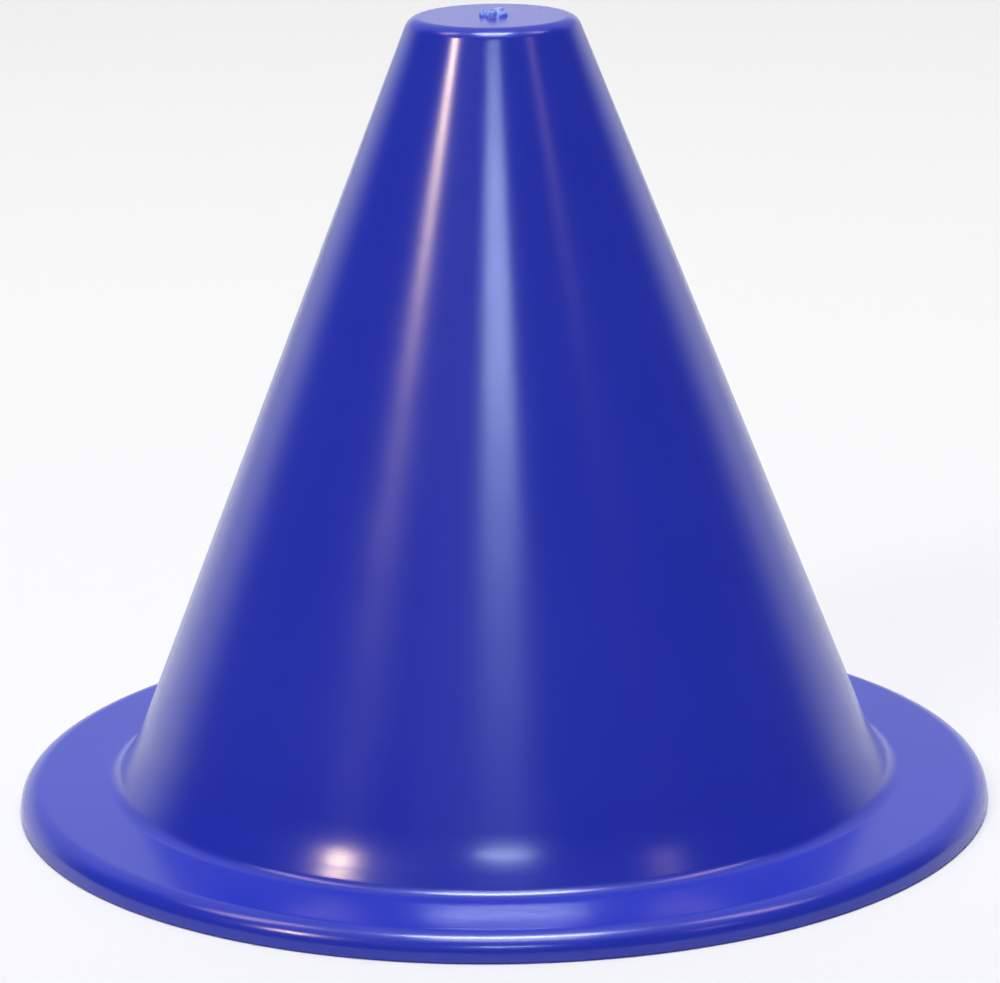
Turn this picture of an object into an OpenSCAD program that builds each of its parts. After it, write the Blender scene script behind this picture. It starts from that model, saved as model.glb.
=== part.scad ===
// Sports marker cone: one thin moulded shell with a closed top and a turned-down rim.
// Every flat or tapered face of the shell is a straight line of the turned outline.
// Neighbouring lines meet at a corner, and each corner is rounded by its own radius.
// The inside follows the same lines, each moved inwards by the wall's thickness there.

/* [Overall] */
// Height from the floor to the flat top, without the gate stub
height = 150; // [120:1:180]
// Diameter of the rim at the floor
base_d = 185; // [170:1:260]
// Diameter of the flat top, out to where its plane would meet the tapered wall
top_d = 31; // [24:0.5:44]

/* [Rim and flange] */
// Height of the flange's upper face above the floor
flange_h = 5.2; // [4.6:0.1:12]
// Lean of the rim's outer face, in degrees
rim_draft = 8; // [0:1:15]
// Radius of the rim's upper edge
rim_top_r = 3.6; // [2.4:0.1:4]
// Radius of the rim's edge on the floor
rim_foot_r = 0.5; // [0.2:0.1:0.8]

/* [Foot of the cone] */
// Diameter of the foot, where it would meet the flange
foot_d = 143; // [130:1:160]
// Lean of the foot from upright, in degrees
foot_draft = 17; // [5:0.5:19]
// Height above the floor at which foot and tapered wall would meet
shoulder_h = 22; // [15:0.5:30]
// Radius of the shoulder between the foot and the tapered wall
shoulder_r = 60; // [20:1:90]
// Radius of the hollow corner between flange and foot
fillet_r = 3.5; // [1:0.5:6]
// Radius of the edge round the flat top
top_edge_r = 2.8; // [2.2:0.1:5]

/* [Wall thickness] */
// Thickness of the cone's wall, foot and shoulder
wall_t = 2; // [1.2:0.1:2.2]
// Thickness of the flat top
top_t = 2.4; // [1.2:0.1:4]
// Thickness of the flange and of the turned-down rim
rim_t = 2; // [1.2:0.1:2.4]

/* [Gate mark] */
// Diameter of the torn gate stub at the flat top
gate_d = 5.4; // [3:0.2:9]
// Height of the stub's taller side
gate_h = 1.2; // [0.4:0.1:2]
// Slope of the torn face, in degrees
gate_slope = 14; // [0:1:20]
// Diameter of the round pit pulled out beside the stub
pit_d = 2.2; // [1:0.1:4]

/* [Hidden] */
body_colour = "#2938C0";
// Straight steps that a full turn of an arc is drawn with
turn_steps = 72;
// Straight steps round the gate stub and the pit
gate_steps = 48;
// How far a cut runs past the face that it opens
overrun = 1;
// Radius left on an inside corner where the outside radius is less than the wall
inner_corner_r = 0.4;
// Taper of the gate stub: its diameter at the torn face as a share of that at its root
gate_taper_share = 0.72;
// Depth of the pit as a share of its diameter
pit_depth_share = 0.3;
// Height of the lowest part of the torn face as a share of the stub's height
torn_low_share = 0.35;

base_r = base_d / 2;
foot_r = foot_d / 2;
top_r = top_d / 2;
foot_drop = (shoulder_h - flange_h) * tan(foot_draft);
shoulder_x = foot_r - foot_drop;
wall_draft = atan((shoulder_x - top_r) / (height - shoulder_h));

// A face is [the lean of its normal above the floor, its distance from the origin along it]
function face(lean, x, z) = [lean, x * cos(lean) + z * sin(lean)];

// The same face moved inwards by a thickness
function inset_face(f, t) = [f[0], f[1] - t];

// The corner where two faces meet
function meet(f, g) =
    let (span = sin(g[0] - f[0]))
    [(f[1] * sin(g[0]) - g[1] * sin(f[0])) / span,
     (g[1] * cos(f[0]) - f[1] * cos(g[0])) / span];

// Direction of a vector, in degrees
function heading(v) = atan2(v[1], v[0]);

// An angle brought between minus and plus half a turn
function half_turn(a) = a - 360 * round(a / 360);

// The arc that rounds the corner b between its neighbours a and c
function arc(a, b, c, r) =
    let (into = heading(b - a),
         bend = half_turn(heading(c - b) - into),
         side = sign(bend),
         reach = r * tan(abs(bend) / 2),
         start = b - reach * [cos(into), sin(into)],
         centre = start + side * r * [-sin(into), cos(into)],
         steps = max(2, ceil(turn_steps * abs(bend) / 360)))
    [for (i = [0 : steps])
        let (turn = into + bend * i / steps)
        centre + side * r * [sin(turn), -cos(turn)]];

// An outline through its corners, each rounded by its own radius, and sharp at both ends
function rounded(corners, radii) =
    let (last = len(corners) - 1)
    [corners[0],
     for (i = [1 : last - 1])
        for (p = arc(corners[i - 1], corners[i], corners[i + 1], radii[i - 1])) p,
     corners[last]];

// The faces of the shell's outside, from the floor up to the flat top
floor_face = face(-90, 0, 0);
rim_face = face(rim_draft, base_r, 0);
flange_face = face(90, 0, flange_h);
foot_face = face(foot_draft, foot_r, flange_h);
wall_face = face(wall_draft, top_r, height);
top_face = face(90, 0, height);

// The same faces inside
rim_inside = inset_face(rim_face, rim_t);
flange_inside = inset_face(flange_face, rim_t);
foot_inside = inset_face(foot_face, wall_t);
wall_inside = inset_face(wall_face, wall_t);
top_inside = inset_face(top_face, top_t);

rim_mouth = meet(floor_face, rim_inside);
rim_mid = (meet(floor_face, rim_face) + rim_mouth) / 2;

outside = rounded(
    [rim_mid, meet(floor_face, rim_face), meet(rim_face, flange_face),
     meet(flange_face, foot_face), meet(foot_face, wall_face),
     meet(wall_face, top_face), [0, height]],
    [rim_foot_r, rim_top_r, fillet_r, shoulder_r, top_edge_r]);

inside = rounded(
    [rim_mid, rim_mouth, meet(rim_inside, flange_inside),
     meet(flange_inside, foot_inside), meet(foot_inside, wall_inside),
     meet(wall_inside, top_inside), [0, height - top_t]],
    [rim_foot_r, max(inner_corner_r, rim_top_r - rim_t), fillet_r + rim_t,
     shoulder_r - wall_t, max(inner_corner_r, top_edge_r - wall_t)]);

// Turned outline, walked up the outside and back down the inside
module shell() {
    inner_last = len(inside) - 1;
    rotate_extrude($fn = turn_steps)
        polygon(concat(outside, [for (i = [inner_last : -1 : 1]) inside[i]]));
}

// The stub of plastic left where the feed was torn off, with its torn face on a slope
module gate_stub() {
    low_side_h = gate_h * torn_low_share;
    block = gate_d + overrun;
    difference() {
        translate([0, 0, height - top_t / 2])
            cylinder(h = gate_h + top_t / 2, d1 = gate_d, d2 = gate_d * gate_taper_share, $fn = gate_steps);
        translate([-gate_d / 2, 0, height + low_side_h])
            rotate([0, -gate_slope, 0])
                translate([-overrun, -block / 2, 0])
                    cube([block + 2 * overrun, block, gate_h + overrun]);
    }
}

// The pit that the feed pulled out of the flat top, beside the stub
module gate_pit() {
    translate([-gate_d / 2, gate_d / 2, height + pit_d * (1 / 2 - pit_depth_share)])
        sphere(d = pit_d, $fn = gate_steps);
}

module cone_shell() {
    color(body_colour)
        difference() {
            union() {
                shell();
                gate_stub();
            }
            gate_pit();
        }
}

cone_shell();
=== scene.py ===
# Sports marker cone: one thin moulded shell of blue polyethylene, on a pale floor in soft studio light.
# Everything is in metres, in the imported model's frame: the cone's axis is Z and the floor is at zero.
import math

import bmesh
import bpy
from mathutils import Matrix, Vector, noise


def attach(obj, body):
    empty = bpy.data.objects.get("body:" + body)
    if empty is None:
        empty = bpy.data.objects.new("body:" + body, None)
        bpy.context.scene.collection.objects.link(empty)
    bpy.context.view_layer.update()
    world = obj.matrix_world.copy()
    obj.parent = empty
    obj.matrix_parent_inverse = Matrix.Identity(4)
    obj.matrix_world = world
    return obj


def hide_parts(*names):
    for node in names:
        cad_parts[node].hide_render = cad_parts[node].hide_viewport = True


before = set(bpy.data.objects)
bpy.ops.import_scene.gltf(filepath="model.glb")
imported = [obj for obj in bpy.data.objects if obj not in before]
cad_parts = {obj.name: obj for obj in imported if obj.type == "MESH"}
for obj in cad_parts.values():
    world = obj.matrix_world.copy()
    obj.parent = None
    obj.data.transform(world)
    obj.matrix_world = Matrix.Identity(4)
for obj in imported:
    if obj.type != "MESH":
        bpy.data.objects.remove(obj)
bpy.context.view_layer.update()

MM = 0.001

# The shell's outline. The foot flares out towards the flange, and the shoulder is the bend above it.
HEIGHT = 150 * MM
BASE_R = 92.5 * MM
TOP_R = 15.5 * MM
FLANGE_H = 5.2 * MM
RIM_DRAFT = math.radians(8)
RIM_TOP_R = 4 * MM
RIM_FOOT_R = 0.5 * MM
FOOT_R = 73.9 * MM
FOOT_DRAFT = math.radians(31)
SHOULDER_H = 11.9 * MM
SHOULDER_R = 42 * MM
FILLET_R = 3.3 * MM
TOP_EDGE_R = 2.8 * MM
WALL_T = 2 * MM
TOP_T = 2.4 * MM
RIM_T = 2 * MM
INNER_CORNER_R = 0.4 * MM

# How finely the shell is turned
TURN_STEPS = 288
ARC_STEP = math.radians(4)
LEAST_ARC_STEPS = 3

# How far from a bend the holding point of a long run sits, and how near two points are merged
HOLD = 0.35 * MM
LONG_RUN = 3 * HOLD
WELD = 0.002 * MM

# The torn gate stub in the middle of the top
GATE_R = 2.6 * MM
GATE_H = 1.2 * MM
GATE_MARGIN = 1.2 * MM
GATE_RING = 0.11 * MM
EDGE_WANDER = 0.45 * MM
EDGE_SOFTNESS = 0.5 * MM

# Its torn face: how many lumps, fibres and crumbs there are to a millimetre
LUMPS_PER_MM = 0.9
FIBRES_PER_MM = 0.45
CRUMBS_PER_MM = 2.6

# Its torn face: heights as shares of the stub's, and the share gained over a millimetre to the right
MEAN_SHARE = 0.62
LEAST_SHARE = 0.15
FIBRE_SHARE = 0.9
CRUMB_SHARE = 0.22
TILT_SHARE_PER_MM = 0.10

# Places in the noise that give the stub its outline and its fibres
OUTLINE_IN_NOISE = Vector((7.3, 1.1, 4.0))
FIBRES_IN_NOISE = Vector((3.1, 0, 1.7))

# The view of the photograph, with the camera's place counted in rim radii
PICTURE_W = 1000
FOCAL_PX = 4530
SENSOR_W = 36
CAMERA_PLACE = Vector((-0.026, -8.92, 3.06)) * BASE_R
CAMERA_PITCH = math.radians(15.16)
CAMERA_YAW = math.radians(-0.17)
CAMERA_ROLL = math.radians(-0.84)

# The studio, in metres
FLOOR_REACH = 4
CEILING = 3
LAMP_DISTANCE = 3
LAMP_AIM = Vector((0, 0, 80 * MM))


def face(lean, x, z):
    """A straight face of the outline: its normal's angle above the floor, and its distance along it."""
    return lean, x * math.cos(lean) + z * math.sin(lean)


def moved_in(line, thickness):
    """The same face inside the wall."""
    return line[0], line[1] - thickness


def meet(first, second):
    """The corner where two faces meet."""
    (a, p), (b, q) = first, second
    span = math.sin(b - a)
    x = (p * math.sin(b) - q * math.sin(a)) / span
    z = (q * math.cos(a) - p * math.cos(b)) / span
    return Vector((x, 0, z))


def run_straight(bm, tip, end):
    """Carries the wire straight on to end, with a holding point near both ends of a long run."""
    start = tip.co.copy()
    along = end - start
    stops = [end]
    if along.length > LONG_RUN:
        along.normalize()
        stops = [start + along * HOLD, end - along * HOLD, end]
    for stop in stops:
        after = bm.verts.new(stop)
        bm.edges.new((tip, after))
        tip = after
    return tip


def draw_outline(bm, corners, radii):
    """Draws a wire through the corners and rounds each by its radius."""
    tip = bm.verts.new(corners[0])
    for before, corner, after, radius in zip(corners, corners[1:], corners[2:], radii):
        into = (corner - before).normalized()
        bend = into.angle(after - corner)
        axis = into.cross(after - corner).normalized()
        start = corner - into * radius * math.tan(bend / 2)
        tip = run_straight(bm, tip, start)
        steps = max(LEAST_ARC_STEPS, math.ceil(bend / ARC_STEP))
        centre = start + axis.cross(into) * radius
        turned = bmesh.ops.spin(bm, geom=[tip], cent=centre, axis=axis, angle=bend, steps=steps)
        tip = turned["geom_last"][0]
    return run_straight(bm, tip, corners[-1])


def turn_quarter(bm):
    """Turns the whole wire a quarter of the way round and mirrors that twice, so that the turn closes."""
    wire = list(bm.verts) + list(bm.edges)
    bmesh.ops.spin(bm, geom=wire, cent=(0, 0, 0), axis=(0, 0, 1), angle=math.pi / 2, steps=TURN_STEPS // 4)
    for axis in "XY":
        quarter = bm.verts[:] + bm.edges[:] + bm.faces[:]
        bmesh.ops.mirror(bm, geom=quarter, matrix=Matrix(), merge_dist=WELD, axis=axis)
    bmesh.ops.remove_doubles(bm, verts=bm.verts, dist=WELD)
    bmesh.ops.recalc_face_normals(bm, faces=bm.faces)


def torn_height(x, y):
    """Height of the torn plastic over the flat top, at a place round the middle of it."""
    place = Vector((x, y, 0)) / MM
    edge = GATE_R + EDGE_WANDER * noise.noise(place * LUMPS_PER_MM + OUTLINE_IN_NOISE)
    inside = min(1, max(0, (edge - math.hypot(x, y)) / EDGE_SOFTNESS))
    rounded_off = inside * inside * (3 - 2 * inside)
    drawn_out = Vector((place.x * LUMPS_PER_MM, place.y * FIBRES_PER_MM, 0))
    fibres = noise.noise(drawn_out + FIBRES_IN_NOISE)
    crumbs = noise.noise(place * CRUMBS_PER_MM)
    share = MEAN_SHARE + TILT_SHARE_PER_MM * place.x + FIBRE_SHARE * fibres + CRUMB_SHARE * crumbs
    return GATE_H * rounded_off * max(LEAST_SHARE, share)


def make_shell(finishes):
    """The whole moulding: outside, inside, and the torn gate in the middle of the flat top."""
    floor_face = face(-math.pi / 2, 0, 0)
    rim_face = face(RIM_DRAFT, BASE_R, 0)
    flange_face = face(math.pi / 2, 0, FLANGE_H)
    foot_face = face(FOOT_DRAFT, FOOT_R, FLANGE_H)
    shoulder_x = FOOT_R - (SHOULDER_H - FLANGE_H) * math.tan(FOOT_DRAFT)
    wall_draft = math.atan((shoulder_x - TOP_R) / (HEIGHT - SHOULDER_H))
    wall_face = face(wall_draft, TOP_R, HEIGHT)
    top_face = face(math.pi / 2, 0, HEIGHT)

    rim_in = moved_in(rim_face, RIM_T)
    flange_in = moved_in(flange_face, RIM_T)
    foot_in = moved_in(foot_face, WALL_T)
    wall_in = moved_in(wall_face, WALL_T)
    top_in = moved_in(top_face, TOP_T)

    rim_mouth = meet(floor_face, rim_in)
    rim_mid = (meet(floor_face, rim_face) + rim_mouth) / 2
    gate_rim = Vector((GATE_R + GATE_MARGIN, 0, HEIGHT))

    bm = bmesh.new()
    tip = draw_outline(bm, [
        rim_mid, meet(floor_face, rim_face), meet(rim_face, flange_face), meet(flange_face, foot_face),
        meet(foot_face, wall_face), meet(wall_face, top_face), gate_rim,
    ], [RIM_FOOT_R, RIM_TOP_R, FILLET_R, SHOULDER_R, TOP_EDGE_R])
    rings = round(gate_rim.x / GATE_RING)
    for _ in range(rings):
        tip = run_straight(bm, tip, tip.co - Vector((gate_rim.x / rings, 0, 0)))
    draw_outline(bm, [
        rim_mid, rim_mouth, meet(rim_in, flange_in), meet(flange_in, foot_in),
        meet(foot_in, wall_in), meet(wall_in, top_in), Vector((0, 0, HEIGHT - TOP_T)),
    ], [RIM_FOOT_R, max(INNER_CORNER_R, RIM_TOP_R - RIM_T), FILLET_R + RIM_T,
        SHOULDER_R + WALL_T, max(INNER_CORNER_R, TOP_EDGE_R - WALL_T)])
    turn_quarter(bm)

    up = Vector((0, 0, 1))
    for part in bm.faces:
        part.smooth = True
        outwards = part.calc_center_median() * Vector((1, 1, 0))
        part.material_index = int(part.normal.dot(outwards.normalized() + up) < 0)
    for vert in bm.verts:
        if vert.co.z > HEIGHT - WELD and vert.co.xy.length < gate_rim.x:
            vert.co.z += min(GATE_H, torn_height(vert.co.x, vert.co.y))

    mesh = bpy.data.meshes.new("moulded_shell")
    bm.to_mesh(mesh)
    bm.free()
    for finish in finishes:
        mesh.materials.append(finish)
    shell = bpy.data.objects.new("moulded_shell", mesh)
    bpy.context.scene.collection.objects.link(shell)
    return shell


def linear(hex_colour):
    """A colour written as sRGB hex, as the linear colour that shaders take."""
    parts = [int(hex_colour[i:i + 2], 16) / 255 for i in (1, 3, 5)]
    turned = [c / 12.92 if c <= 0.04045 else ((c + 0.055) / 1.055) ** 2.4 for c in parts]
    return (*turned, 1)


def add(tree, kind, inputs=None, **settings):
    """Adds a node, sets its properties, and sets or links its inputs by name or number."""
    node = tree.nodes.new(kind)
    for name, value in settings.items():
        setattr(node, name, value)
    for socket, value in (inputs or {}).items():
        if isinstance(value, bpy.types.NodeSocket):
            tree.links.new(value, node.inputs[socket])
        else:
            node.inputs[socket].default_value = value
    return node


def new_material(name):
    """An empty node material."""
    material = bpy.data.materials.new(name)
    material.use_nodes = True
    material.node_tree.nodes.clear()
    return material


def moulded_polyethylene(name, roughness, grain_depth):
    """Low-density polyethylene dyed through, injection moulded against a finely blasted steel mould.

    The eye sees a deep, even blue with a satin gloss, whose highlights break up into a fine grain."""
    material = new_material(name)
    tree = material.node_tree
    place = add(tree, "ShaderNodeTexCoord").outputs["Object"]

    # Dye that is a little uneven over 30 mm
    cloud = add(tree, "ShaderNodeTexNoise", {"Vector": place, "Scale": 1 / (30 * MM), "Detail": 3})
    body = add(tree, "ShaderNodeMix", {
        "Factor": cloud.outputs["Fac"], 6: linear("#2735BE"), 7: linear("#2C3BC2"),
    }, data_type="RGBA")

    # Torn plastic at the gate, stretched until it turned pale
    height = add(tree, "ShaderNodeSeparateXYZ", {0: place})
    stretched = add(tree, "ShaderNodeMapRange", {
        "Value": height.outputs["Z"], "From Min": HEIGHT + 0.05 * MM, "From Max": HEIGHT + 0.6 * MM,
        "To Max": 0.85,
    })
    body = add(tree, "ShaderNodeMix", {
        "Factor": stretched.outputs[0], 6: body.outputs[2], 7: linear("#8CAAFF"),
    }, data_type="RGBA")

    # Blasted grain of 0.3 mm and a soft orange peel of 3 mm
    grain = add(tree, "ShaderNodeTexNoise", {"Vector": place, "Scale": 1 / (0.3 * MM), "Detail": 1})
    peel = add(tree, "ShaderNodeTexNoise", {"Vector": place, "Scale": 1 / (3 * MM), "Detail": 1})
    peeled = add(tree, "ShaderNodeBump", {
        "Strength": 1, "Distance": 0.006 * MM, "Height": peel.outputs["Fac"],
    })
    grained = add(tree, "ShaderNodeBump", {
        "Strength": 1, "Distance": grain_depth, "Height": grain.outputs["Fac"],
        "Normal": peeled.outputs["Normal"],
    })

    # Gloss that changes a little over 12 mm
    spread = 0.03
    patches = add(tree, "ShaderNodeTexNoise", {"Vector": place, "Scale": 1 / (12 * MM), "Detail": 2})
    rough = add(tree, "ShaderNodeMapRange", {
        "Value": patches.outputs["Fac"], "To Min": roughness - spread, "To Max": roughness + spread,
    })
    plastic = add(tree, "ShaderNodeBsdfPrincipled", {
        "Base Color": body.outputs[2], "Roughness": rough.outputs[0], "IOR": 1.51,
        "Normal": grained.outputs["Normal"],
    })
    add(tree, "ShaderNodeOutputMaterial", {"Surface": plastic.outputs[0]})
    return material


def painted_board(name, colour):
    """Matt painted board: an even pale surface with no gloss."""
    material = new_material(name)
    tree = material.node_tree
    paint = add(tree, "ShaderNodeBsdfPrincipled", {
        "Base Color": linear(colour), "Roughness": 0.9, "Specular IOR Level": 0.1,
    })
    add(tree, "ShaderNodeOutputMaterial", {"Surface": paint.outputs[0]})
    return material


def make_floor():
    """The table that the cone stands on."""
    bm = bmesh.new()
    bmesh.ops.create_grid(bm, x_segments=1, y_segments=1, size=FLOOR_REACH)
    mesh = bpy.data.meshes.new("studio_floor")
    bm.to_mesh(mesh)
    bm.free()
    mesh.materials.append(painted_board("pale_painted_board", "#F1F1F2"))
    floor = bpy.data.objects.new("studio_floor", mesh)
    bpy.context.scene.collection.objects.link(floor)


def light_studio():
    """A plain room, dark on the camera's side, with a pale backdrop behind the cone and a pale ceiling.

    Directions in it are unit vectors, so the limits on Z are sines of the angle above the floor."""
    world = bpy.data.worlds.new("studio_room")
    bpy.context.scene.world = world
    world.use_nodes = True
    tree = world.node_tree
    tree.nodes.clear()
    direction = add(tree, "ShaderNodeTexCoord").outputs["Generated"]
    parts = add(tree, "ShaderNodeSeparateXYZ", {0: direction})
    level = add(tree, "ShaderNodeCombineXYZ", {"X": parts.outputs["X"], "Y": parts.outputs["Y"]})
    heading = add(tree, "ShaderNodeVectorMath", {0: level.outputs[0]}, operation="NORMALIZE")
    backwards = add(tree, "ShaderNodeSeparateXYZ", {0: heading.outputs[0]})
    backdrop = add(tree, "ShaderNodeMapRange", {
        "Value": parts.outputs["Z"], "From Min": 0.12, "From Max": 0.34, "To Min": 0.95, "To Max": 0.55,
    }, interpolation_type="SMOOTHSTEP")
    behind = add(tree, "ShaderNodeMapRange", {
        "Value": backwards.outputs["Y"], "From Min": 0.35, "From Max": 0.75,
        "To Min": 0.04, "To Max": backdrop.outputs[0],
    }, interpolation_type="SMOOTHSTEP")
    ceiling = add(tree, "ShaderNodeMapRange", {
        "Value": parts.outputs["Z"], "From Min": 0.66, "From Max": 0.82,
        "To Min": behind.outputs[0], "To Max": 0.6,
    }, interpolation_type="SMOOTHSTEP")
    room = add(tree, "ShaderNodeBackground", {"Color": (1, 1, 1, 1), "Strength": ceiling.outputs[0]})
    add(tree, "ShaderNodeOutputWorld", {"Surface": room.outputs[0]})


def hang_lamp(name, place, width, height, radiance,
              colour="#FFFFFF", aim=LAMP_AIM, glow=False, veiled=False):
    """A flat lamp that faces aim. A glow is seen in reflections alone, and a veiled lamp in none."""
    data = bpy.data.lights.new(name, "AREA")
    data.shape = "RECTANGLE"
    data.size = width
    data.size_y = height
    data.color = linear(colour)[:3]
    data.energy = radiance * math.pi * width * height
    lamp = bpy.data.objects.new(name, data)
    turn = (place - aim).to_track_quat("Z", "Y").to_matrix().to_4x4()
    lamp.matrix_world = Matrix.Translation(place) @ turn
    bpy.context.scene.collection.objects.link(lamp)
    lamp.visible_camera = False
    lamp.visible_diffuse = not glow
    lamp.visible_glossy = not veiled


def on_ceiling(x, y):
    """A place on the ceiling, to the right of the cone and behind it by shares of the ceiling's height."""
    return CEILING * Vector((x, y, 1))


def from_side(azimuth, elevation):
    """A place seen from the cone at an azimuth, in degrees left of the camera, and at an elevation."""
    a, e = math.radians(azimuth), math.radians(elevation)
    towards = Vector((-math.sin(a) * math.cos(e), -math.cos(a) * math.cos(e), math.sin(e)))
    return LAMP_AIM + LAMP_DISTANCE * towards


def hang_lamps():
    """The lamps over and round the cone, with their sizes in metres."""
    # Two lamps light everything, and aren't mirrored in the gloss
    above = on_ceiling(0, 0.05)
    hang_lamp("overhead_softbox", above, aim=above - Vector((0, 0, 1)),
              width=1.2, height=1.56, radiance=10.4, veiled=True)
    hang_lamp("left_fill", from_side(38, 36), width=0.8, height=0.8, radiance=5.5, veiled=True)

    # Bright lines along the rim, the foot and the top edge, and the band of light on the flange
    hang_lamp("key_window", on_ceiling(0, -0.29),
              width=1.38, height=1.5, radiance=9, colour="#E6EDFF", glow=True)
    hang_lamp("key_strip", on_ceiling(0, -0.175),
              width=1.38, height=0.24, radiance=55, colour="#D6E4FF", glow=True)
    hang_lamp("left_window", on_ceiling(-0.68, 0),
              width=0.7, height=1.2, radiance=7, colour="#FFD8CC", glow=True)
    hang_lamp("right_window", on_ceiling(0.66, 0),
              width=0.7, height=1.2, radiance=6, colour="#FFD8CC", glow=True)

    # Streaks down the wall, each with its patch of light on the foot, and a faint haze between them
    hang_lamp("front_haze", from_side(12, 27), width=1.8, height=1.0, radiance=0.25, glow=True)
    hang_lamp("front_strip", from_side(0, 31),
              width=0.7, height=0.09, radiance=57, colour="#CFE0FF", glow=True)
    hang_lamp("warm_lamp", from_side(54, 31.5),
              width=0.32, height=0.24, radiance=92, colour="#FFDDB8", glow=True)
    hang_lamp("far_lamp", from_side(-52, 33),
              width=0.4, height=0.36, radiance=4.2, colour="#FFCFC0", glow=True)


def place_camera():
    """The photograph's camera, which looks down at the cone from the front."""
    data = bpy.data.cameras.new("camera")
    data.sensor_width = SENSOR_W
    data.lens = FOCAL_PX / PICTURE_W * SENSOR_W
    data.clip_start = 0.05
    data.clip_end = 50
    camera = bpy.data.objects.new("camera", data)
    turn = Matrix.Rotation(CAMERA_YAW, 4, "Z") @ Matrix.Rotation(math.pi / 2 - CAMERA_PITCH, 4, "X")
    camera.matrix_world = Matrix.Translation(CAMERA_PLACE) @ turn @ Matrix.Rotation(CAMERA_ROLL, 4, "Z")
    bpy.context.scene.collection.objects.link(camera)
    bpy.context.scene.camera = camera


place_camera()

outside_finish = moulded_polyethylene("satin_moulded_polyethylene", roughness=0.20, grain_depth=0.006 * MM)
inside_finish = moulded_polyethylene("matt_moulded_polyethylene", roughness=0.42, grain_depth=0.010 * MM)
shell = make_shell([outside_finish, inside_finish])
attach(shell, "root")
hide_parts("cone_shell")

make_floor()
light_studio()
hang_lamps()
bpy.context.scene.view_settings.view_transform = "Standard"
